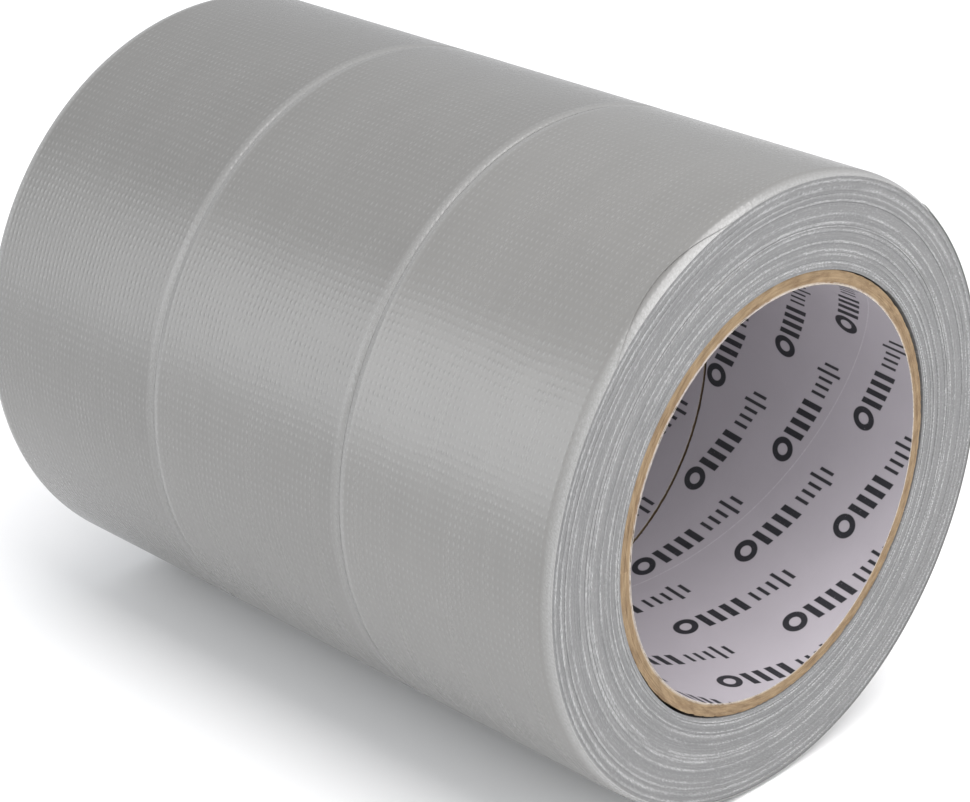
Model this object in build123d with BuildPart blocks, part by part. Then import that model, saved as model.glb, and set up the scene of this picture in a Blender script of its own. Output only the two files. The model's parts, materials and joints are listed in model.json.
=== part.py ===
"""Three rolls of cloth duct tape, lying side by side on one axis.

Each roll is a spiral-wound paper core with a printed liner, and one long strip of tape
wound onto it. The strip is a laminate: a film on the outside, a gauze scrim in the middle
and adhesive on the inside. It is kept as one wound pack, its last turn, and the free end,
which peels off and is made of its three layers.

The frame: +Z is up, +Y runs along the rolls' axis from the front roll to the rear one, and
the origin is under the middle of the stack, on the surface that it lies on.
Lengths are millimetres and angles are degrees, counted from +X towards +Z.
"""

import os
from math import cos, degrees, pi, radians, sin, sqrt

from build123d import *

# The strip of tape
tape_width = 49.5
tape_length = 27400.0
film_thickness = 0.08
scrim_thickness = 0.04
adhesive_thickness = 0.08

# The core, from its bore outwards
core_bore_diameter = 76.2
liner_thickness = 0.15
inner_ply_thickness = 1.25
outer_ply_thickness = 1.15
core_recess = 0.25  # how far each end of the core lies behind the tape's edges

# The edges of the wound pack: rings that lie a little behind the pack's own end faces
edge_ring_width = 1.15
edge_ring_pitch = 2.4
edge_ring_step = 0.08
edge_ring_depths = 3  # the rings' depths go round in a cycle of this many steps
edge_ring_margin = 2.0  # plain pack beside the core and under the last turn

# The free end of the strip
tail_length = 34.0
tail_lift = 0.1  # the gap under it, where it has let go of the turn below
tail_root_gap = 0.1  # the gap between it and the rest of the last turn

# The stack
roll_gap = 0.3  # between the edges of two neighbouring rolls
roll_ends = {"front": 48.0, "middle": 36.0, "rear": 57.0}  # where each strip ends

# What follows from them
tape_thickness = film_thickness + scrim_thickness + adhesive_thickness
liner_radius = core_bore_diameter / 2
inner_ply_radius = liner_radius + liner_thickness
outer_ply_radius = inner_ply_radius + inner_ply_thickness
core_radius = outer_ply_radius + outer_ply_thickness
core_width = tape_width - 2 * core_recess
roll_radius = sqrt(core_radius**2 + tape_length * tape_thickness / pi)
roll_pitch = tape_width + roll_gap
axis_height = roll_radius

# A turn of the spiral is two half circles. Their centres lie a quarter of the strip's
# thickness either side of the axis, so that the radius grows by one thickness a turn.
centre_shift = tape_thickness / 4
pack_radius = roll_radius - 2 * tape_thickness  # where the last turn starts
first_half_radius = pack_radius + centre_shift
second_half_radius = pack_radius + 3 * centre_shift
tail_angle = degrees(tail_length / second_half_radius)
tail_root_angle = 360 - tail_angle
tail_root_gap_angle = degrees(tail_root_gap / second_half_radius)
tail_inner_radius = second_half_radius + tail_lift
tail_outer_radius = tail_inner_radius + tape_thickness


def roll_plane(middle_y, end_angle):
    """The plane across a roll at mid width, whose x axis points to the strip's end."""
    turn = radians(end_angle)
    return Plane(
        origin=(0, middle_y, axis_height),
        x_dir=(cos(turn), 0, sin(turn)),
        z_dir=(0, -1, 0),
    )


def ring(plane, inner_radius, thickness, width):
    """A plain tube about the roll's axis."""
    with BuildPart() as tube:
        with BuildSketch(plane):
            Circle(inner_radius + thickness)
            Circle(inner_radius, mode=Mode.SUBTRACT)
        extrude(amount=width / 2, both=True)
    return tube.part


def wound_pack(plane):
    """Every turn of the strip but the last, with the small steps in its edges."""
    with BuildPart() as pack:
        with BuildSketch(plane):
            with BuildLine():
                first = CenterArc((-centre_shift, 0), first_half_radius, 0, 180)
                second = CenterArc((centre_shift, 0), second_half_radius, 180, 180)
                Line(second @ 1, first @ 0)
            make_face()
            Circle(core_radius, mode=Mode.SUBTRACT)
        extrude(amount=tape_width / 2, both=True)

        room = pack_radius - core_radius - 2 * edge_ring_margin
        ring_count = max(0, 1 + int((room - edge_ring_width) / edge_ring_pitch))
        for number in range(ring_count):
            inner = core_radius + edge_ring_margin + number * edge_ring_pitch
            depth = edge_ring_step * (1 + number % edge_ring_depths)
            for end_offset in (tape_width / 2, -tape_width / 2):
                inward = -depth if end_offset > 0 else depth
                with BuildSketch(plane.offset(end_offset)):
                    Circle(inner + edge_ring_width)
                    Circle(inner, mode=Mode.SUBTRACT)
                extrude(amount=inward, mode=Mode.SUBTRACT)
    return pack.part


def last_turn(plane):
    """The outermost turn, from where the wound pack ends to the root of the free end."""
    second_arc = tail_root_angle - 180
    with BuildPart() as turn:
        with BuildSketch(plane):
            with BuildLine():
                low_first = CenterArc((-centre_shift, 0), first_half_radius, 0, 180)
                low_second = CenterArc((centre_shift, 0), second_half_radius, 180, second_arc)
                top_first = CenterArc(
                    (-centre_shift, 0), first_half_radius + tape_thickness, 0, 180
                )
                top_second = CenterArc(
                    (centre_shift, 0), second_half_radius + tape_thickness, 180, second_arc
                )
                Line(low_first @ 0, top_first @ 0)
                Line(low_second @ 1, top_second @ 1)
            make_face()
        extrude(amount=tape_width / 2, both=True)
    return turn.part


def tail_layer(plane, inner_radius, thickness):
    """One layer of the free end, curved as it lies on the roll."""
    start = tail_root_angle + tail_root_gap_angle
    size = tail_angle - tail_root_gap_angle
    with BuildPart() as layer:
        with BuildSketch(plane):
            with BuildLine():
                low = CenterArc((centre_shift, 0), inner_radius, start, size)
                top = CenterArc((centre_shift, 0), inner_radius + thickness, start, size)
                Line(low @ 0, top @ 0)
                Line(low @ 1, top @ 1)
            make_face()
        extrude(amount=tape_width / 2, both=True)
    return layer.part


def tail_hinge(middle_y, end_angle):
    """Where the free end bends as it peels: the outer edge of its root, at mid width."""
    local = Vector(centre_shift, 0) + Vector(tail_outer_radius, 0).rotate(
        Axis.Z, tail_root_angle
    )
    return roll_plane(middle_y, end_angle).from_local_coords(local)


def roll(middle_y, end_angle):
    """The separate pieces of one roll, by the second half of their names."""
    plane = roll_plane(middle_y, end_angle)
    scrim_radius = tail_inner_radius + adhesive_thickness
    film_radius = scrim_radius + scrim_thickness
    return {
        "bore_liner": ring(plane, liner_radius, liner_thickness, core_width),
        "core_inner_ply": ring(plane, inner_ply_radius, inner_ply_thickness, core_width),
        "core_outer_ply": ring(plane, outer_ply_radius, outer_ply_thickness, core_width),
        "wound_tape": wound_pack(plane),
        "last_turn": last_turn(plane),
        "tail_adhesive": tail_layer(plane, tail_inner_radius, adhesive_thickness),
        "tail_scrim": tail_layer(plane, scrim_radius, scrim_thickness),
        "tail_film": tail_layer(plane, film_radius, film_thickness),
    }


roll_middles = {
    name: (number - (len(roll_ends) - 1) / 2) * roll_pitch
    for number, name in enumerate(roll_ends)
}

os.makedirs("parts", exist_ok=True)
for name, middle_y in roll_middles.items():
    for piece, solid in roll(middle_y, roll_ends[name]).items():
        solid.label = f"{name}_{piece}"
        export_step(solid, f"parts/{solid.label}.step")
    print(f"{name}_tail hinge at", tail_hinge(middle_y, roll_ends[name]))
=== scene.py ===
import json
import math
import random

import bmesh
import bpy
from mathutils import Matrix, Vector, noise


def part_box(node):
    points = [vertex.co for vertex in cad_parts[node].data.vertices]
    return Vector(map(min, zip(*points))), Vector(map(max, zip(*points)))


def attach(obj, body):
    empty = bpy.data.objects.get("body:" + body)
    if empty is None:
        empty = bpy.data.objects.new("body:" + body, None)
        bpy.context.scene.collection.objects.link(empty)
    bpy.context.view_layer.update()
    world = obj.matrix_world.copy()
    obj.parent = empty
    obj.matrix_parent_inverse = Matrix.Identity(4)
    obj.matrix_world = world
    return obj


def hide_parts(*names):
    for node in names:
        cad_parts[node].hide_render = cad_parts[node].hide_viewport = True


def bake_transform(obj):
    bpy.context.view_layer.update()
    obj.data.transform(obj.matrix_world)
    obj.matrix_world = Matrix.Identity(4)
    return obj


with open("model.json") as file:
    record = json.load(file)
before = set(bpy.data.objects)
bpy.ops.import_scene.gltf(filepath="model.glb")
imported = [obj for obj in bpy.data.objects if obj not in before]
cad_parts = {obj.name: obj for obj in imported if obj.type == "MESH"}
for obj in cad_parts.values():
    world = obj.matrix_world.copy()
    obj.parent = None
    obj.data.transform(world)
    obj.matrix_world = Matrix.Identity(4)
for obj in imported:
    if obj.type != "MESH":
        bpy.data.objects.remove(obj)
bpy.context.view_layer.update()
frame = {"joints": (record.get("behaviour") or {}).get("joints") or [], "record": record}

mm = 0.001
fullTurn = 2 * math.pi
tiny = 0.01 * mm  # an edge closer than this counts as being there
mergeDistance = 0.001 * mm
rollNames = ["front", "middle", "rear"]
joints = {joint["name"]: joint for joint in frame["joints"]}
mounts = {mount["name"]: mount for mount in frame["record"]["mounts"]}

# the strip of tape, as every piece of a roll needs it
strip = {
    "thickness": 0.2 * mm,
    "film": 0.08 * mm,
    "allowance": 0.025 * mm,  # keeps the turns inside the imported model's own
    # how the outermost turns droop at a roll's edges: how far in, how far down, the curve's power
    "rimShoulder": (2.5 * mm, 0.85 * mm, 2.0),  # at the front of the front roll
    "plainShoulder": (1.35 * mm, 0.34 * mm, 2.3),
}


def halfSize(node, axis):
    low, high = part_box(node)
    return (high[axis] - low[axis]) / 2


def readRoll(name):
    # where one roll stands and how large its parts are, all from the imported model
    bore = mounts[f"{name}_bore"]
    axisAt = Vector(bore["pos_m"])
    root = Vector(joints[f"{name}_tail_peel"]["pos_m"])
    fromAxis = root - axisAt
    tailLow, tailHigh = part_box(f"{name}_tail_film")
    endAngle = math.atan2(tailHigh.z - axisAt.z, tailLow.x)
    rootAngle = math.atan2(fromAxis.z, fromAxis.x)
    # half the pack's size along X is the mean of its two radii there, half a turn apart
    growth = strip["thickness"] * (0.75 - endAngle / fullTurn)
    packHalf = halfSize(f"{name}_wound_tape", 0)
    return {
        "name": name,
        "axisAt": axisAt,
        "boreRadius": bore["dims"]["r_mm"] * mm,
        "linerRadius": halfSize(f"{name}_bore_liner", 0),
        "plyRadius": halfSize(f"{name}_core_inner_ply", 0),
        "coreRadius": halfSize(f"{name}_core_outer_ply", 0),
        "coreHalf": halfSize(f"{name}_core_outer_ply", 1),
        "tapeHalf": halfSize(f"{name}_wound_tape", 1),
        "packRadius": packHalf - growth - strip["allowance"],
        "endAngle": endAngle,
        "tailArc": endAngle - rootAngle,
        "root": root,
        "neighbours": {-1: name != rollNames[0], 1: name != rollNames[-1]},  # before and behind it
        "shoulders": {
            -1: strip["rimShoulder" if name == rollNames[0] else "plainShoulder"],
            1: strip["plainShoulder"],
        },
    }


rolls = [readRoll(name) for name in rollNames]
print("rolls read:", [round(math.degrees(roll["endAngle"]), 1) for roll in rolls])


def smoothBump(x):
    # 1 at 0, falling smoothly to 0 at 1 on either side
    x = min(1.0, abs(x))
    return (1 - x * x) ** 2


def smoothStep(x):
    x = min(1.0, max(0.0, x))
    return x * x * (3 - 2 * x)


def wobble(seed, *values):
    # smooth noise between about -1 and 1
    place = list(values) + [0.0] * (3 - len(values))
    return noise.noise(Vector((place[0] + seed * 17.3, place[1] - seed * 5.1, place[2])))


def shoulder(roll, side, distance):
    # how far a turn's surface has dropped at this distance in from the roll's end face
    width, drop, curve = roll["shoulders"][side]
    return drop * (1 - min(1.0, max(0.0, distance / width))) ** curve


def underside(roll, angle):
    # radius of the last turn's underside: two half circles, growing by one thickness in a turn
    quarter = strip["thickness"] / 4
    if angle < math.pi:
        return roll["packRadius"] + quarter * (1 - math.cos(angle))
    return roll["packRadius"] + quarter * (3 + math.cos(angle))


def sheet(bm, rows, columns):
    # a flat sheet of faces, as its vertices with the row and column of each
    made = bmesh.ops.create_grid(bm, x_segments=rows, y_segments=columns, size=1)["verts"]
    return [
        (vert, round((vert.co.x + 1) / 2 * rows), round((vert.co.y + 1) / 2 * columns))
        for vert in made
    ]


def closeSeams(bm):
    # joins a rolled-up sheet where its sides meet, and caps what stays open
    bmesh.ops.remove_doubles(bm, verts=bm.verts, dist=mergeDistance)
    bmesh.ops.holes_fill(bm, edges=[edge for edge in bm.edges if edge.is_boundary], sides=0)
    bmesh.ops.recalc_face_normals(bm, faces=bm.faces)


def angleOf(vert):
    return math.atan2(vert.co.z, vert.co.x) % fullTurn


def setPolar(vert, angle, radius, along):
    vert.co = (radius * math.cos(angle), along, radius * math.sin(angle))


def sharpen(bm, degrees=32):
    limit = math.radians(degrees)
    for edge in bm.edges:
        edge.smooth = len(edge.link_faces) == 2 and edge.calc_face_angle(0) < limit
    for face in bm.faces:
        face.smooth = True


def stripMap(bm, roll):
    # the strip's own map: length along it and place across it, both in millimetres,
    # with the painted shade that darkens this roll's film, and which edges are free of a neighbour
    paintedShade = bm.verts.layers.float.new("paintedShade")
    rim = bm.verts.layers.float.new("rim")
    for vert in bm.verts:
        vert[paintedShade] = filmLook["paintedShadeAmounts"][roll["name"]]
        vert[rim] = 0.0 if roll["neighbours"][-1 if vert.co.y < 0 else 1] else 1.0
    layer = bm.loops.layers.uv.new("strip")
    for face in bm.faces:
        angles = [angleOf(loop.vert) for loop in face.loops]
        wraps = max(angles) - min(angles) > math.pi
        for loop, angle in zip(face.loops, angles):
            if wraps and angle < math.pi:
                angle += fullTurn
            radius = math.hypot(loop.vert.co.x, loop.vert.co.z)
            loop[layer].uv = (angle * radius / mm, loop.vert.co.y / mm)


def finishMesh(bm, name, roll, materials):
    # turns the mesh to where the strip ends, moves it onto the roll's axis, makes the object
    turn = Matrix.Rotation(-roll["endAngle"], 4, "Y")
    bmesh.ops.transform(bm, matrix=Matrix.Translation(roll["axisAt"]) @ turn, verts=bm.verts)
    mesh = bpy.data.meshes.new(name)
    bm.to_mesh(mesh)
    bm.free()
    for material in materials:
        mesh.materials.append(material)
    piece = bpy.data.objects.new(name, mesh)
    bpy.context.scene.collection.objects.link(piece)
    return piece


class Wire:
    # one socket of a shader, with arithmetic
    def __init__(self, shader, socket):
        self.shader = shader
        self.socket = socket

    def __add__(self, other):
        return self.shader.maths("ADD", self, other)

    def __sub__(self, other):
        return self.shader.maths("SUBTRACT", self, other)

    def __mul__(self, other):
        return self.shader.maths("MULTIPLY", self, other)

    def __truediv__(self, other):
        return self.shader.maths("DIVIDE", self, other)

    def __pow__(self, other):
        return self.shader.maths("POWER", self, other)

    def __abs__(self):
        return self.shader.maths("ABSOLUTE", self)

    def __rsub__(self, other):
        return self.shader.maths("SUBTRACT", other, self)

    __radd__ = __add__


class Shader:
    # a node material and the few ways in which this scene adds nodes to it
    def __init__(self, name):
        self.material = bpy.data.materials.new(name)
        self.material.use_nodes = True
        self.tree = self.material.node_tree
        self.tree.nodes.clear()

    def add(self, kind, settings=None, inputs=None, output=0):
        node = self.tree.nodes.new(kind)
        for key, value in (settings or {}).items():
            setattr(node, key, value)
        for key, value in (inputs or {}).items():
            if isinstance(value, Wire):
                self.tree.links.new(value.socket, node.inputs[key])
            else:
                node.inputs[key].default_value = value
        return Wire(self, node.outputs[output]) if node.outputs else node

    def maths(self, operation, *values):
        return self.add("ShaderNodeMath", {"operation": operation}, dict(enumerate(values)))

    def clamped(self, value):
        settings = {"operation": "ADD", "use_clamp": True}
        return self.add("ShaderNodeMath", settings, {0: value, 1: 0.0})

    def inside(self, value, halfWidth, softness):
        # 1 where |value| is under halfWidth, with a soft edge
        return self.clamped((halfWidth - abs(value)) / softness + 0.5)

    def mixed(self, factor, first, second):
        # the node's colour sockets are inputs 6 and 7 and output 2
        first, second = ((*c, 1) if isinstance(c, tuple) else c for c in (first, second))
        inputs = {0: factor, 6: first, 7: second}
        return self.add("ShaderNodeMix", {"data_type": "RGBA"}, inputs, 2)

    def vector(self, x=0.0, y=0.0, z=0.0):
        return self.add("ShaderNodeCombineXYZ", None, {0: x, 1: y, 2: z})

    def noise(self, vector, scale, detail=2.0, roughness=0.5):
        inputs = {"Vector": vector, "Scale": scale, "Detail": detail, "Roughness": roughness}
        return self.add("ShaderNodeTexNoise", None, inputs)

    def attribute(self, name):
        return self.add("ShaderNodeAttribute", {"attribute_name": name}, None, "Fac")

    def polar(self, height):
        # angle round the rolls' axis, place along it, and distance from it, in millimetres
        place = self.add("ShaderNodeTexCoord", None, None, "Object")
        x, y, z = (self.add("ShaderNodeSeparateXYZ", None, {0: place}, i) for i in range(3))
        z = z - height
        angle = self.maths("ARCTAN2", z, x)
        return angle, y / mm, self.maths("SQRT", x * x + z * z) / mm

    def finish(self, **inputs):
        # inputs are the Principled shader's, with _ for a space
        inputs = {name.replace("_", " "): value for name, value in inputs.items()}
        surface = self.add("ShaderNodeBsdfPrincipled", None, inputs)
        self.add("ShaderNodeOutputMaterial", None, {"Surface": surface})
        return self.material

    def bump(self, height, distance):
        inputs = {"Height": height, "Distance": distance, "Strength": 1.0}
        return self.add("ShaderNodeBump", None, inputs)


filmLook = {
    "colour": (0.176, 0.173, 0.1665),
    "darkColour": (0.147, 0.1445, 0.139),
    "glintAndWearColour": (0.27, 0.27, 0.266),  # painted glint over the threads, and the film's pale wear where it is stretched over the roll's shoulders
    # the colour of the painted shade on the rolls further back
    "paintedShadeColour": (0.080, 0.079, 0.077),
    "paintedShadeAmounts": {"front": 0.0, "middle": 0.18, "rear": 0.30},  # painted shade: how far each roll's film is darkened, more on the rolls further back
    "seamWear": 0.45,  # of an edge beside another roll, next to a free edge's
    "wornWidth": 1.5,  # over which an edge's wear fades, in millimetres
    "roughness": 0.26,
    "warpPitch": 1.12,  # between the threads that run along the strip
    "weftPitch": 1.56,  # between those that run across it
    # how the threads stray from their grid: the noise's scale, and how far warp and weft go
    "drift": (0.05, 1.2, 1.6),
    "fineDrift": (0.45, 0.18, 0.3),
    "patchScale": 0.16,  # of the places where the pattern shows more
    "leastPattern": 0.2,  # how much of it shows elsewhere
    "grainHeight": 0.35,  # next to the pattern's
    "emboss": 0.052 * mm,
    "threadTone": 0.40,  # how strongly the painted glint shows where the threads cross
}


def filmMaterial():
    # silver polyethylene film, pressed down between the threads of the scrim
    shader = Shader("silverFilm")
    place = shader.add("ShaderNodeUVMap", {"uv_map": "strip"})
    along = shader.add("ShaderNodeSeparateXYZ", None, {0: place}, 0)
    across = shader.add("ShaderNodeSeparateXYZ", None, {0: place}, 1)
    driftScale, warpDrift, weftDrift = filmLook["drift"]
    fineScale, warpFine, weftFine = filmLook["fineDrift"]
    drift = shader.noise(place, driftScale, 1.0) - 0.5
    fine = shader.noise(place, fineScale, 1.0) - 0.5
    warpPhase = (across + drift * warpDrift + fine * warpFine) * (fullTurn / filmLook["warpPitch"])
    weftPhase = (along + drift * weftDrift + fine * weftFine) * (fullTurn / filmLook["weftPitch"])
    warp = (shader.maths("COSINE", warpPhase) * 0.5 + 0.5) ** 2.0
    weft = (shader.maths("COSINE", weftPhase) * 0.5 + 0.5) ** 2.0
    patchy = shader.clamped(shader.noise(place, filmLook["patchScale"], 3.0, 0.6) * 2.6 - 0.75)
    shown = patchy * (1 - filmLook["leastPattern"]) + filmLook["leastPattern"]
    # where the threads cross, for the painted glints
    threadGlints = (warp ** 2.5) * weft * shown
    weave = (warp * weft + warp * 0.3 + weft * 0.12) * shown
    grain = shader.noise(place, 7.0, 2.0)
    cloud = shader.noise(place, 0.06, 2.0)
    smear = shader.noise(shader.vector(along * 0.02, across * 0.35), 1.0, 3.0)
    colour = shader.mixed(cloud * 0.55 + smear * 0.45, filmLook["darkColour"], filmLook["colour"])
    # painted shade: darkens the film of the rolls further back
    colour = shader.mixed(shader.attribute("paintedShade"), colour, filmLook["paintedShadeColour"])
    fromEdge = rolls[0]["tapeHalf"] / mm - abs(across)
    speckle = shader.noise(place, 2.6, 3.0, 0.7)
    # painted glints: the film is lightened where the threads cross, standing in for highlights on
    # the emboss
    colour = shader.mixed(threadGlints * filmLook["threadTone"], colour, filmLook["glintAndWearColour"])
    worn = shader.clamped(1.2 - fromEdge / filmLook["wornWidth"]) * (speckle * 2.4 - 0.4)
    free = filmLook["seamWear"] + shader.attribute("rim") * (1 - filmLook["seamWear"])
    colour = shader.mixed(shader.clamped(worn) * free, colour, filmLook["glintAndWearColour"])
    rough = filmLook["roughness"] + (grain - 0.5) * 0.08 + (smear - 0.5) * 0.1 - weave * 0.05
    normal = shader.bump(weave + (grain - 0.5) * filmLook["grainHeight"], filmLook["emboss"])
    return shader.finish(Base_Color=colour, Roughness=rough, Normal=normal)


edgeLook = {
    "colour": (0.180, 0.180, 0.180),
    "darkColour": (0.135, 0.136, 0.138),
    "threadColour": (0.46, 0.462, 0.46),
    "speckTone": 0.35,  # of the pale specks that are on every turn
    "threadTone": 0.85,  # of the thread ends on the turns that stand proud
    "roughness": 0.62,
    "relief": 0.03 * mm,
}


def edgeMaterial():
    # the turns' cut edges: grey film and adhesive, with the white ends of the scrim's threads
    shader = Shader("tapeEdges")
    angle, _, radius = shader.polar(rolls[0]["axisAt"].z)
    turn = shader.attribute("turn")
    arc = angle * radius
    patches = shader.noise(shader.vector(arc * 0.11, radius * 0.7, 5.3), 1.0, 2.0, 0.6)
    proud = shader.attribute("proud") * shader.clamped(patches * 3.4 - 0.95)
    streak = shader.noise(shader.vector(arc * 0.12, radius * 4.5), 1.0, 3.0, 0.6)
    turnTone = shader.noise(shader.vector(turn * 1.9, 0.5), 1.0, 0.0)
    speckle = shader.noise(shader.vector(arc * 2.4, radius * 4.0, 3.7), 1.0, 2.0, 0.7)
    threads = shader.noise(shader.vector(arc * 3.2, radius * 2.8, 9.1), 1.0, 3.0, 0.7)
    tone = shader.clamped((streak - 0.5) * 1.5 + (turnTone - 0.5) * 1.3 + 0.55)
    base = shader.mixed(tone, edgeLook["darkColour"], edgeLook["colour"])
    specks = shader.clamped((speckle - 0.56) * 7.0) * edgeLook["speckTone"]
    ends = proud * shader.clamped(threads * 5.0 - 2.1) * edgeLook["threadTone"]
    colour = shader.mixed(shader.clamped(specks + ends), base, edgeLook["threadColour"])
    normal = shader.bump(speckle + threads * 0.6, edgeLook["relief"])
    return shader.finish(Base_Color=colour, Roughness=edgeLook["roughness"], Normal=normal)


printLook = {
    "paper": (0.354, 0.330, 0.356),
    "paperLight": (0.408, 0.381, 0.411),
    "ink": (0.018, 0.018, 0.022),
    "seamColour": (0.66, 0.64, 0.67),
    "roughness": 0.48,
    "relief": 0.01 * mm,
    # the print, in millimetres on the liner laid flat
    "alongRow": (32.2, -15.4),  # to the next mark in its row: round the bore, along the axis
    "toNextRow": (20.72, 1.54),
    "firstMark": (195.3, 20.4),  # the middle of one mark, round the bore and in from the front face
    "nextLiner": (9.0, 4.0),  # how far each liner's print is shifted from the one before it
    "seamRow": 1.62,  # the paper's own spiral seam, in rows from the first mark
    "seamHalf": 0.10,
    "rowsPerTurn": 10,
    # the mark, in millimetres along its row and across it, from its middle
    "softness": 0.16,  # of the ink's edges
    "lean": 0.32,  # of the strokes, for each millimetre across the row
    "ring": (11.0, 1.75, 0.62),  # how far back its middle is, its radius, half its line's width
    "tallStroke": (9.1, 0.95, 2.5),  # where it is among the thin ones, its reach, half its height
    "thickStrokes": {
        "pitch": 2.45, "start": -8.2, "inCell": 1.2, "halfWidth": 0.68,
        "middle": -3.3, "reach": 4.9, "halfHeight": 2.1,
    },
    "thinStrokes": {
        "pitch": 1.9, "start": 2.4, "inCell": 0.95, "halfWidth": 0.36,
        "middle": 7.15, "reach": 4.75, "halfHeight": 1.5,
    },
}


def strokes(shader, lean, group):
    # a group of equal strokes, without their ends
    soft, pitch = printLook["softness"], group["pitch"]
    inCell = shader.maths("FRACT", (lean - group["start"]) / pitch) * pitch - group["inCell"]
    line = shader.inside(inCell, group["halfWidth"], soft)
    return line * shader.inside(lean - group["middle"], group["reach"], soft)


def linerMaterial():
    # printed paper: slanting rows of a plain mark, a ring with thick and thin strokes
    shader = Shader("printedLiner")
    angle, y, _ = shader.polar(rolls[0]["axisAt"].z)
    boreRadius = rolls[0]["boreRadius"] / mm
    face = rolls[0]["axisAt"].y / mm - rolls[0]["tapeHalf"] / mm
    pitch = (rolls[1]["axisAt"].y - rolls[0]["axisAt"].y) / mm
    rollNumber = shader.maths("FLOOR", (y - face) / pitch)
    (rowU, rowV), (stepU, stepV) = printLook["alongRow"], printLook["toNextRow"]
    markU, markV = printLook["firstMark"]
    shiftU, shiftV = printLook["nextLiner"]
    length = math.hypot(rowU, rowV)
    cell = rowU * stepV - rowV * stepU
    u = angle * boreRadius - markU + rollNumber * shiftU
    v = y - face - markV - rollNumber * (pitch + shiftV)
    across = (v * rowU - u * rowV) / cell
    row = shader.maths("FLOOR", across + 0.5)
    q = (across - row) * (cell / length)
    s = ((u - row * stepU) * rowU + (v - row * stepV) * rowV) / length
    s = s - shader.maths("FLOOR", s / length + 0.5) * length
    lean = s + q * printLook["lean"]
    soft = printLook["softness"]
    back, ringRadius, ringHalf = printLook["ring"]
    fromRing = shader.maths("SQRT", (s + back) * (s + back) + q * q) - ringRadius
    ring = shader.inside(fromRing, ringHalf, soft)
    group = printLook["thickStrokes"]
    thick = strokes(shader, lean, group) * shader.inside(q, group["halfHeight"], soft)
    group = printLook["thinStrokes"]
    tallMiddle, tallReach, tallHalf = printLook["tallStroke"]
    tall = shader.inside(lean - tallMiddle, tallReach, soft) * shader.inside(q, tallHalf, soft)
    ends = shader.clamped(shader.inside(q, group["halfHeight"], soft) + tall)
    thin = strokes(shader, lean, group) * ends
    wear = shader.noise(shader.vector(u, v, rollNumber), 1.6, 4.0, 0.7)
    ink = shader.clamped(ring + thick + thin) * shader.clamped(wear * 3.0 - 0.15)
    seamPlace = across - printLook["seamRow"]
    turns = shader.maths("FLOOR", seamPlace / printLook["rowsPerTurn"] + 0.5)
    seamPlace = (seamPlace - turns * printLook["rowsPerTurn"]) * (cell / length)
    seam = shader.inside(seamPlace, printLook["seamHalf"], 0.15)
    seam = seam * shader.clamped(wear * 2.2 - 0.5)
    cloud = shader.noise(shader.vector(u, v, rollNumber), 0.09, 3.0)
    fibre = shader.noise(shader.vector(u * 0.5, v * 3.0, rollNumber), 1.0, 3.0)
    paper = shader.mixed(cloud * 0.7 + fibre * 0.3, printLook["paper"], printLook["paperLight"])
    paper = shader.mixed(seam * 0.45, paper, printLook["seamColour"])
    colour = shader.mixed(ink, paper, printLook["ink"])
    rough = printLook["roughness"] + (fibre - 0.5) * 0.15
    normal = shader.bump(fibre + seam * 2.0, printLook["relief"])
    return shader.finish(Base_Color=colour, Roughness=rough, Normal=normal)


kraftLook = {
    "colour": (0.240, 0.158, 0.084),
    "darkColour": (0.085, 0.050, 0.026),
    "fibreColour": (0.43, 0.325, 0.195),
    "pulpColour": (0.50, 0.455, 0.40),  # of the liner's torn pulp, on the inner edge
    "patchTone": 0.6,
    "looseTone": 0.6,  # of the loose fibres
    "roughness": 0.9,
    "relief": 0.09 * mm,
}


def kraftMaterial():
    # torn and cut kraft board
    shader = Shader("kraftBoard")
    angle, y, radius = shader.polar(rolls[0]["axisAt"].z)
    boreRadius = rolls[0]["boreRadius"] / mm
    arc = angle * radius
    layers = shader.noise(shader.vector(arc * 0.15, radius * 5.0, y * 0.5), 1.0, 4.0, 0.7)
    fibre = shader.noise(shader.vector(arc * 1.6, radius * 6.0, y * 2.0), 1.0, 4.0, 0.7)
    blotch = shader.noise(shader.vector(arc * 0.35, radius, y), 1.0, 2.0)
    layerTone = shader.clamped(layers * 1.8 - 0.35)
    base = shader.mixed(layerTone, kraftLook["darkColour"], kraftLook["colour"])
    patch = shader.clamped(blotch * 1.7 - 0.55) * kraftLook["patchTone"]
    base = shader.mixed(patch, base, kraftLook["fibreColour"])
    loose = shader.clamped((fibre - 0.58) * 6.0) * kraftLook["looseTone"]
    colour = shader.mixed(loose, base, kraftLook["fibreColour"])
    pulp = shader.clamped((fibre + blotch * 0.6 - 0.62) * 5.0)
    pulp = pulp * shader.inside(radius - boreRadius, 0.3, 0.4)
    colour = shader.mixed(pulp, colour, kraftLook["pulpColour"])
    normal = shader.bump(fibre + layers, kraftLook["relief"])
    return shader.finish(Base_Color=colour, Roughness=kraftLook["roughness"], Normal=normal)


linerEdgeLook = {
    "colour": (0.22, 0.17, 0.12),
    "pulpColour": (0.50, 0.46, 0.41),
    "roughness": 0.9,
    "relief": 0.05 * mm,
}


def paperEdgeMaterial():
    # the liner's torn edge, where its white pulp shows
    shader = Shader("linerEdge")
    angle, y, radius = shader.polar(rolls[0]["axisAt"].z)
    pulp = shader.noise(shader.vector(angle * radius, radius * 3.0, y * 3.0), 1.8, 4.0, 0.7)
    torn = shader.clamped(pulp * 3.5 - 1.2)
    colour = shader.mixed(torn, linerEdgeLook["colour"], linerEdgeLook["pulpColour"])
    normal = shader.bump(pulp, linerEdgeLook["relief"])
    return shader.finish(Base_Color=colour, Roughness=linerEdgeLook["roughness"], Normal=normal)


adhesiveLook = {
    "colour": (0.27, 0.28, 0.265),
    "paleColour": (0.40, 0.41, 0.39),
    "roughness": 0.28,
    "relief": 0.05 * mm,
}


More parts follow.
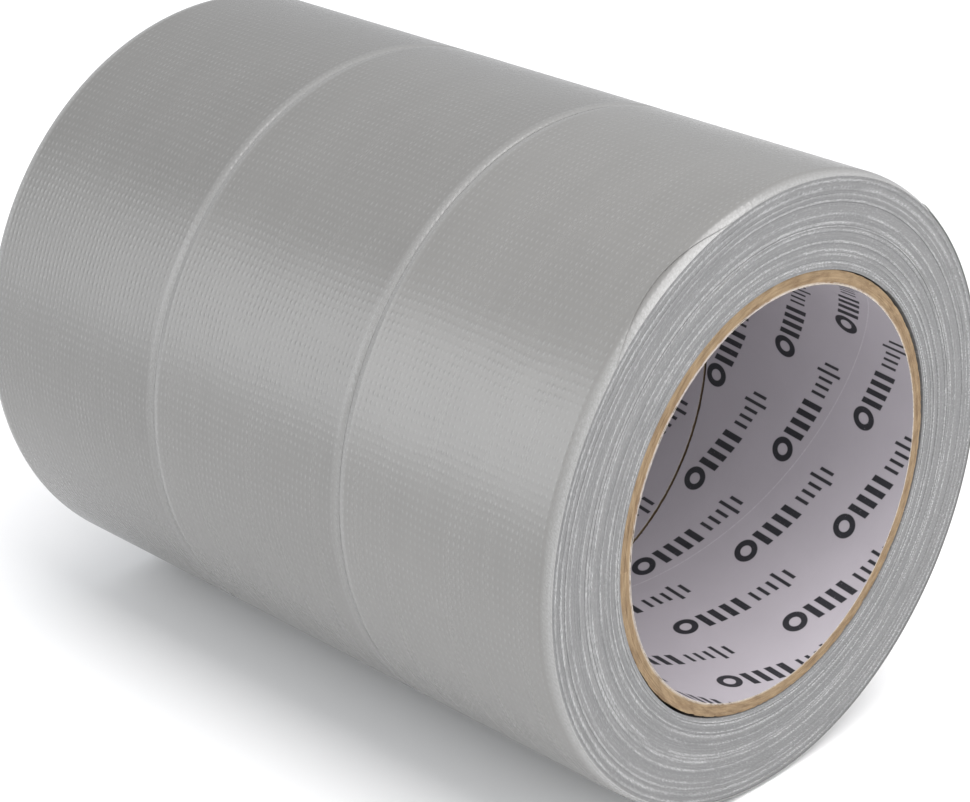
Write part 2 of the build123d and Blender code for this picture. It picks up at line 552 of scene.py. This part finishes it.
def adhesiveMaterial():
    # pale rubbery adhesive, smeared and uneven
    shader = Shader("adhesive")
    place = shader.add("ShaderNodeUVMap", {"uv_map": "strip"})
    smear = shader.noise(place, 0.4, 4.0, 0.6)
    fine = shader.noise(place, 3.0, 3.0)
    colour = shader.mixed(smear, adhesiveLook["colour"], adhesiveLook["paleColour"])
    rough = adhesiveLook["roughness"] + smear * 0.2
    normal = shader.bump(smear + fine * 0.4, adhesiveLook["relief"])
    return shader.finish(Base_Color=colour, Roughness=rough, Normal=normal)


threadLook = {
    "colour": (0.46, 0.465, 0.46),
    "paleColour": (0.66, 0.66, 0.645),
    "twist": 9.0,  # in each millimetre
    "roughness": 0.8,
    "relief": 0.02 * mm,
}


def threadMaterial():
    # twisted cotton thread
    shader = Shader("scrimThread")
    place = shader.add("ShaderNodeUVMap", {"uv_map": "strip"})
    twist = shader.noise(place, threadLook["twist"], 2.0)
    colour = shader.mixed(twist, threadLook["colour"], threadLook["paleColour"])
    normal = shader.bump(twist, threadLook["relief"])
    return shader.finish(Base_Color=colour, Roughness=threadLook["roughness"], Normal=normal)


film = filmMaterial()
tapeEdges = edgeMaterial()
liner = linerMaterial()
kraft = kraftMaterial()
linerEdge = paperEdgeMaterial()
adhesive = adhesiveMaterial()
thread = threadMaterial()
print("materials made")


windings = {
    "columns": 240,  # steps round the roll
    "shoulderPoints": 8,  # closer together near the edge, by this power
    "shoulderSpacing": 1.5,
    "recess": 0.16 * mm,  # how far a plain turn's edge lies behind the end face
    "leastRecess": 0.01 * mm,
    "wander": 0.035 * mm,  # from one turn to the next
    "bandWander": 0.06 * mm,  # from one band of turns to the next
    "ridgeHeight": 0.09 * mm,
    "ridgeSpread": 1.3,  # widens every ridge
    "coreGap": 0.36 * mm,  # where the core has shrunk away from the tape
    "coreGapAngles": [(35, 52), (232, 24)],  # middle and half width, in degrees from +X
    "coreGapFade": 2 * mm,  # how far out into the pack the turns give way
    # turns that stand proud of the rest: the turn's number and how many turns it fades over
    "ridges": {
        "front": [(3.4, 1.1), (6.2, 1.4), (13.5, 1.0), (17.4, 1.5), (24.6, 1.3), (35.0, 1.6),
                  (38.0, 0.9), (41.2, 1.7), (49.0, 1.5), (60.5, 1.2), (66.0, 1.0), (71.5, 2.0),
                  (78.0, 1.4), (84.0, 1.6)],
        "middle": [(8.0, 1.5), (19.0, 1.0), (31.0, 1.8), (44.5, 1.2), (58.0, 1.6), (75.0, 1.3)],
        "rear": [(5.5, 1.2), (14.0, 1.7), (27.5, 1.2), (40.0, 1.6), (52.0, 1.0), (69.0, 1.9),
                 (80.5, 1.2)],
    },
}


def ridgeAt(roll, winding):
    spread = windings["ridgeSpread"]
    ridges = windings["ridges"][roll["name"]]
    return max(smoothBump((winding - middle) / (reach * spread)) for middle, reach in ridges)


def edgeRecess(roll, seed, winding, angle):
    # how far behind the end face a turn's edge lies
    band = wobble(seed, winding * 0.17) * windings["bandWander"]
    turn = wobble(seed + 3, winding * 1.7) * windings["wander"]
    slow = wobble(seed + 5, math.cos(angle) * 1.3, math.sin(angle) * 1.3, winding * 0.1)
    slow *= windings["wander"]
    ridge = ridgeAt(roll, winding) * windings["ridgeHeight"]
    return max(windings["leastRecess"], windings["recess"] + band + turn + slow - ridge)


def joinRoll(roll, piece, node):
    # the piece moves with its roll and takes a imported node's place
    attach(piece, f"{roll['name']}_roll")
    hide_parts(f"{roll['name']}_{node}")


def coreGap(roll, angle):
    # angle is counted from the strip's end
    world = math.degrees(angle + roll["endAngle"])
    gaps = windings["coreGapAngles"]
    return windings["coreGap"] * max(
        smoothBump(((world - middle + 180) % 360 - 180) / reach) for middle, reach in gaps
    )


def makeWoundTape(roll, seed):
    thickness = strip["thickness"]
    turns = round((roll["packRadius"] - roll["coreRadius"]) / thickness)
    innerRadius = roll["packRadius"] - turns * thickness
    packEdge = innerRadius + turns * thickness

    def oneSide(side):
        # (radius, turn, how far in from the end face, side): the turns' edges, then the shoulder
        width, drop, _ = roll["shoulders"][side]
        points = []
        for turn in range(turns):
            low = innerRadius + turn * thickness
            if low + thickness < packEdge - drop:
                points += [(low, turn, None, side), (low + thickness, turn, None, side)]
        count = windings["shoulderPoints"]
        for number in range(count + 1):
            place = width * (number / count) ** windings["shoulderSpacing"]
            points.append((packEdge - shoulder(roll, side, place), turns - 1, place, side))
        return points

    profile = oneSide(-1) + oneSide(1)[::-1]
    columns = windings["columns"]
    bm = bmesh.new()
    turnLayer = bm.verts.layers.float.new("turn")
    proudLayer = bm.verts.layers.float.new("proud")
    for vert, row, column in sheet(bm, len(profile), columns):
        radius, turn, recess, side = profile[row % len(profile)]
        angle = fullTurn * column / columns
        winding = turn + angle / fullTurn
        ragged = edgeRecess(roll, seed + side, winding, angle)
        if recess is None:
            recess = ragged
        else:
            recess += ragged * (1 - recess / roll["shoulders"][side][0])
        given = smoothStep(1 - (radius - innerRadius) / windings["coreGapFade"])
        gap = coreGap(roll, angle) * given
        growth = underside(roll, angle) - roll["packRadius"]
        setPolar(vert, angle, radius + growth + gap, side * (roll["tapeHalf"] - recess))
        vert[turnLayer] = winding
        vert[proudLayer] = ridgeAt(roll, winding)
    closeSeams(bm)
    for face in bm.faces:
        middle = face.calc_center_median()
        drop = roll["shoulders"][-1 if middle.y < 0 else 1][1]
        growth = underside(roll, angleOf(face.verts[0])) - roll["packRadius"]
        outside = math.hypot(middle.x, middle.z) - growth > packEdge - drop * 0.98
        face.material_index = 1 if outside else 0
    stripMap(bm, roll)
    sharpen(bm)
    piece = finishMesh(bm, f"{roll['name']}_wound_turns", roll, [tapeEdges, film])
    joinRoll(roll, piece, "wound_tape")


outerTurn = {
    "columns": 300,
    "edgePoints": [0, 0.12, 0.3, 0.5, 0.75, 1.05, 1.4, 1.8, 2.3, 3.0, 4.0, 5.4],  # mm from an edge
    "middlePoints": 9,
    "setBack": 0.05 * mm,  # of the last turn's edge from the end face
    "setBackWander": 0.03 * mm,
    "meeting": 0.17 * mm,  # how far it reaches out towards the next roll
    "backFade": 8 * mm,  # how far in from the edge the strip is squeezed by that
    "waves": 0.012 * mm,  # how deep the film's long waves are
    "wavesRound": 3.1,
    "wavesAcross": 14 * mm,
    # where the last turn was wound further in: middle and half width in degrees, and how far
    "steps": {
        "front": (123, 18, 2.2 * mm),
        "middle": (250, 30, 0.5 * mm),
        "rear": (300, 24, 0.8 * mm),
    },
    "flare": 0.05 * mm,  # how far the edge stands off there
    "flareWidth": 0.5 * mm,
    "dipShare": 0.5,  # of the dip beside it, next to the flare, then its place and width
    "dipPlace": 2 * mm,
    "dipWidth": 0.9 * mm,
}

tail = {
    "steps": 52,
    "lift": 0.015 * mm,
    "tipLift": 0.04 * mm,
    "glueFrom": 0.015 * mm,  # the underside of the adhesive, over the strip's own
    "bend": (0.4, 6),  # from before its root to beyond it, in millimetres
}


def edgeStep(roll, angle):
    middle, reach, depth = outerTurn["steps"][roll["name"]]
    world = math.degrees(angle + roll["endAngle"])
    return smoothBump(((world - middle + 180) % 360 - 180) / reach), depth


def stripAcross(roll):
    # places across the strip, from the front edge to the rear one, closer together near the edges
    half = roll["tapeHalf"]
    edge = [value * mm for value in outerTurn["edgePoints"]]
    count = outerTurn["middlePoints"]
    inner = half - edge[-1]
    middle = [-inner + 2 * inner * i / (count + 1) for i in range(1, count + 1)]
    return [-half + value for value in edge] + middle + [half - value for value in reversed(edge)]


def stripSurface(roll, seed, angle, along):
    # radius and place along the axis of a point on the outermost turn's underside
    half = roll["tapeHalf"]
    side = -1 if along < 0 else 1
    inward = half - abs(along)
    back = outerTurn["setBack"]
    wander = wobble(seed + side, math.cos(angle) * 2.2, math.sin(angle) * 2.2)
    back += wander * outerTurn["setBackWander"]
    if roll["neighbours"][side]:
        back -= outerTurn["meeting"]
    bump = 0.0
    if side < 0:
        bump, depth = edgeStep(roll, angle)
        back += bump * depth
    fade = max(0.0, 1 - inward / outerTurn["backFade"])
    place = inward + back * fade
    radius = underside(roll, angle) - shoulder(roll, side, place)
    flare = math.exp(-((inward / outerTurn["flareWidth"]) ** 2))
    dip = math.exp(-(((inward - outerTurn["dipPlace"]) / outerTurn["dipWidth"]) ** 2))
    radius += bump * outerTurn["flare"] * flare
    radius -= bump * outerTurn["dipShare"] * outerTurn["flare"] * dip
    wave = wobble(seed + 7, angle * outerTurn["wavesRound"], along / outerTurn["wavesAcross"])
    radius -= abs(wave) * outerTurn["waves"]
    return radius, side * (half - place)


def setOnStrip(vert, roll, seed, angle, across, height):
    radius, along = stripSurface(roll, seed, angle, across)
    setPolar(vert, angle, radius + height, along)


def makeBand(roll, seed, start, size, steps, bottom, top, lift):
    # a stretch of the strip between two heights over its underside
    bm = bmesh.new()
    places = stripAcross(roll)
    profile = [(top, place) for place in places] + [(bottom, place) for place in reversed(places)]
    for vert, row, column in sheet(bm, len(profile), steps):
        height, place = profile[row % len(profile)]
        angle = start + size * column / steps
        setOnStrip(vert, roll, seed, angle, place, height + lift(angle))
    closeSeams(bm)
    stripMap(bm, roll)
    sharpen(bm, 50)
    return bm


def makeOuterTurn(roll, seed):
    size = fullTurn - roll["tailArc"]
    steps = outerTurn["columns"]
    bm = makeBand(roll, seed, 0.0, size, steps, 0.0, strip["thickness"], lambda angle: 0.0)
    piece = finishMesh(bm, f"{roll['name']}_outer_turn", roll, [film])
    joinRoll(roll, piece, "last_turn")


def tailLift(roll):
    # how far the free end stands off the turn below it: along its length, and more at its tip
    start = fullTurn - roll["tailArc"]

    def lift(angle):
        share = (angle - start) / roll["tailArc"]
        return tail["lift"] * smoothStep(share * 4) + tail["tipLift"] * smoothStep(share * 5 - 4)

    return lift


def joinTail(roll, piece, node):
    # the free end is fixed where it stands, and takes an imported node's place
    name = roll["name"]
    direction = roll["endAngle"] - roll["tailArc"] + math.pi / 2
    forward = Vector((math.cos(direction), 0, math.sin(direction)))
    before, beyond = tail["bend"]
    start = roll["root"] - forward * before * mm
    end = roll["root"] + forward * beyond * mm
    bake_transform(piece)
    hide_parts(f"{name}_{node}")


def makeTail(roll, seed):
    start, size = fullTurn - roll["tailArc"], roll["tailArc"]
    lift = tailLift(roll)
    top, middle, low = strip["thickness"], strip["thickness"] - strip["film"], tail["glueFrom"]
    filmBand = makeBand(roll, seed, start, size, tail["steps"], middle, top, lift)
    piece = finishMesh(filmBand, f"{roll['name']}_tail_skin", roll, [film])
    joinTail(roll, piece, "tail_film")
    glueBand = makeBand(roll, seed, start, size, tail["steps"], low, middle, lift)
    piece = finishMesh(glueBand, f"{roll['name']}_tail_glue", roll, [adhesive])
    joinTail(roll, piece, "tail_adhesive")
    makeScrim(roll, seed, start, lift)


scrim = {
    "threadRadius": 0.045 * mm,
    "height": 0.055 * mm,  # of the threads' middles over the strip's underside
    "sides": 5,
    "edgeMargin": 0.5 * mm,
    "weftSteps": 24,
    "weftOver": 0.03 * mm,  # how much higher the threads across the strip lie
    "stray": 0.06,  # of a warp thread from its place in millimetres, of a weft one in pitches
    "longestEnd": 0.9 * mm,  # how far a cut thread sticks out of the strip's end
    "shortestEnd": 0.15,  # next to the longest
}


def makeScrim(roll, seed, start, lift):
    # the gauze in the free end: threads along the strip and threads across it
    draw = random.Random(seed * 11 + 5)
    bm = bmesh.new()
    radius = roll["packRadius"]
    half = roll["tapeHalf"] - scrim["edgeMargin"]
    sides, thick, stray = scrim["sides"], scrim["threadRadius"], scrim["stray"]
    warpPitch = filmLook["warpPitch"] * mm
    weftAngle = filmLook["weftPitch"] * mm / radius

    def addThread(steps, place):
        # place gives the angle, place across and height of the thread's middle at a share of its
        # length, and which way its thickness goes besides up and down: round the roll, or across
        for vert, row, column in sheet(bm, sides, steps):
            turned = fullTurn * (row % sides) / sides
            angle, across, height, sideways = place(column / steps)
            angle += math.cos(turned) * thick * sideways[0] / radius
            across += math.cos(turned) * thick * sideways[1]
            height += math.sin(turned) * thick + lift(angle)
            setOnStrip(vert, roll, seed, angle, across, height)

    for number in range(int(2 * half / warpPitch) + 1):
        across = -half + number * warpPitch + draw.uniform(-stray, stray) * mm
        loose = draw.uniform(scrim["shortestEnd"], 1) * scrim["longestEnd"]
        size = roll["tailArc"] + loose / radius
        addThread(tail["steps"], lambda share: (
            start + size * share, across, scrim["height"], (0, 1)))
    for number in range(1, int(roll["tailArc"] / weftAngle) + 1):
        angle = start + (number - draw.uniform(0, stray)) * weftAngle
        addThread(scrim["weftSteps"], lambda share: (
            angle, (share * 2 - 1) * half, scrim["height"] + scrim["weftOver"], (1, 0)))
    closeSeams(bm)
    stripMap(bm, roll)
    for face in bm.faces:
        face.smooth = True
    piece = finishMesh(bm, f"{roll['name']}_tail_threads", roll, [thread])
    joinTail(roll, piece, "tail_scrim")


core = {
    "columns": 420,
    "plyLayers": 4,
    "layerWander": 0.10 * mm,
    "roughness": 0.05 * mm,
    "grain": 0.45 * mm,
    "lumps": 2.5 * mm,
    "linerRows": 40,
    "tornEdge": 0.16 * mm,
    "tears": (60, 190),  # the scales of the liner's torn edge, for a circle of radius 1
    "chips": 0.24 * mm,  # out of the board's outer edge, beside the tape
    # how far the liner sticks out, beside another roll and at a free end
    "linerReach": {True: 0.2 * mm, False: 0.08 * mm},
}


def makePly(roll, seed, node, inner, outer):
    # a ring of board whose ends show the paper layers it was wound from
    bm = bmesh.new()
    half = roll["coreHalf"]
    draw = random.Random(seed)
    layers = core["plyLayers"]
    layerEdges = [inner + (outer - inner) * i / layers for i in range(layers + 1)]
    points = []
    for side in (-1, 1):
        face = []
        for low, high in zip(layerEdges, layerEdges[1:]):
            recess = draw.uniform(0, 1) * core["layerWander"]
            for share in (0, 0.5, 1):
                face.append((low + (high - low) * share, side * (half - recess)))
        points += face if side < 0 else face[::-1]
    columns = core["columns"]
    for vert, row, column in sheet(bm, len(points), columns):
        radius, along = points[row % len(points)]
        angle = fullTurn * column / columns
        place = (math.cos(angle) * radius, math.sin(angle) * radius, along)
        rough = wobble(seed, *(value / core["grain"] for value in place))
        slow = wobble(seed + 2, *(value / core["lumps"] for value in place))
        inward = (rough * 0.6 + slow * 0.6 + 0.8) * core["roughness"]
        if radius > roll["coreRadius"] - tiny:
            radius -= max(0.0, rough + slow) * core["chips"]
        setPolar(vert, angle, radius, along - math.copysign(inward, along))
    closeSeams(bm)
    sharpen(bm, 60)
    piece = finishMesh(bm, f"{roll['name']}_{node}_board", roll, [kraft])
    joinRoll(roll, piece, node)


def makeLiner(roll, seed):
    # the printed paper in the bore, with torn edges
    bm = bmesh.new()
    half = roll["coreHalf"]
    rows = core["linerRows"]
    coarse, fine = core["tears"]
    inner = [(roll["boreRadius"], -half + 2 * half * i / rows) for i in range(rows + 1)]
    outer = [(roll["linerRadius"], half), (roll["linerRadius"], -half)]
    profile, columns = inner + outer, core["columns"]
    for vert, row, column in sheet(bm, len(profile), columns):
        radius, along = profile[row % len(profile)]
        angle = fullTurn * column / columns
        if half - abs(along) < tiny:
            around = (math.cos(angle), math.sin(angle))
            torn = wobble(seed, *(coarse * value for value in around)) * 0.5
            torn += wobble(seed + 1, *(fine * value for value in around)) * 0.5
            reach = core["linerReach"][roll["neighbours"][-1 if along < 0 else 1]]
            along += math.copysign(reach - (0.6 + torn) * core["tornEdge"], along)
        setPolar(vert, angle, radius, along)
    closeSeams(bm)
    for face in bm.faces:
        face.material_index = 1 if abs(face.normal.y) > 0.7 else 0
    sharpen(bm, 50)
    piece = finishMesh(bm, f"{roll['name']}_printed_liner", roll, [liner, linerEdge])
    joinRoll(roll, piece, "bore_liner")


for number, roll in enumerate(rolls):
    seed = 3 + number * 7
    makeWoundTape(roll, seed)
    makeOuterTurn(roll, seed)
    makeTail(roll, seed)
    makePly(roll, seed + 1, "core_inner_ply", roll["linerRadius"], roll["plyRadius"])
    makePly(roll, seed + 2, "core_outer_ply", roll["plyRadius"], roll["coreRadius"])
    makeLiner(roll, seed)
    print(f"{roll['name']} roll made")


stage = {
    "floorSize": 8.0,
    "floorColour": (0.86, 0.86, 0.86),
    "floorDarkColour": (0.84, 0.84, 0.84),
    "worldColour": (0.95, 0.97, 1.0),
    "worldStrength": 0.7,
    # the camera's direction from the stack, its distance, and where it looks past the middle
    "azimuth": -45.19,
    "elevation": 24.43,
    "distance": 0.5363,
    "sideways": 1.9 * mm,
    "upwards": -5.08 * mm,
    "lens": 104.81,
    "sensorWidth": 36,
    "clipStart": 0.01,
}


def makeFloor():
    shader = Shader("paleFloor")
    place = shader.add("ShaderNodeTexCoord", None, None, "Object")
    tone = shader.noise(place, 3.0, 3.0)
    colour = shader.mixed(tone, stage["floorDarkColour"], stage["floorColour"])
    material = shader.finish(Base_Color=colour, Roughness=0.75)
    bm = bmesh.new()
    bmesh.ops.create_grid(bm, x_segments=8, y_segments=8, size=stage["floorSize"] / 2)
    mesh = bpy.data.meshes.new("floor")
    bm.to_mesh(mesh)
    bm.free()
    mesh.materials.append(material)
    floor = bpy.data.objects.new("floor", mesh)
    bpy.context.scene.collection.objects.link(floor)


def makeWorld():
    world = bpy.data.worlds.new("studio")
    world.use_nodes = True
    bpy.context.scene.world = world
    background = world.node_tree.nodes["Background"]
    background.inputs["Color"].default_value = (*stage["worldColour"], 1)
    background.inputs["Strength"].default_value = stage["worldStrength"]


lights = [
    # name, where it stands, what it looks at, width, height, power, colour
    ("softboxLeft", (-0.717, 0.454, 0.328), (0, -0.02, 0.08), 0.60, 0.64, 4.0, (0.97, 0.985, 1)),
    ("overhead", (0.05, -0.45, 1.1), (0, 0, 0.05), 1.1, 1.1, 19.0, (1, 0.983, 0.98)),
    ("frontFill", (-0.45, -1.0, 0.55), (0, 0, 0.05), 0.8, 0.6, 4.5, (1, 1, 1)),
]


def makeLights():
    for name, place, target, width, height, power, colour in lights:
        data = bpy.data.lights.new(name, "AREA")
        data.shape = "RECTANGLE"
        data.size = width
        data.size_y = height
        data.energy = power
        data.color = colour
        light = bpy.data.objects.new(name, data)
        light.location = place
        light.rotation_euler = (Vector(target) - Vector(place)).to_track_quat("-Z", "Y").to_euler()
        bpy.context.scene.collection.objects.link(light)


def makeCamera():
    azimuth, elevation = math.radians(stage["azimuth"]), math.radians(stage["elevation"])
    level = Vector((math.sin(azimuth), -math.cos(azimuth), 0)) * math.cos(elevation)
    back = level + Vector((0, 0, math.sin(elevation)))
    right = Vector((math.cos(azimuth), math.sin(azimuth), 0))
    up = back.cross(right)
    target = rolls[1]["axisAt"] + right * stage["sideways"] + up * stage["upwards"]
    data = bpy.data.cameras.new("camera")
    data.lens = stage["lens"]
    data.sensor_width = stage["sensorWidth"]
    data.clip_start = stage["clipStart"]
    camera = bpy.data.objects.new("camera", data)
    camera.location = target + back * stage["distance"]
    camera.rotation_euler = (-back).to_track_quat("-Z", "Y").to_euler()
    bpy.context.scene.collection.objects.link(camera)
    bpy.context.scene.camera = camera


makeFloor()
makeWorld()
makeLights()
makeCamera()
bpy.context.scene.view_settings.view_transform = "Standard"
print("stage set")
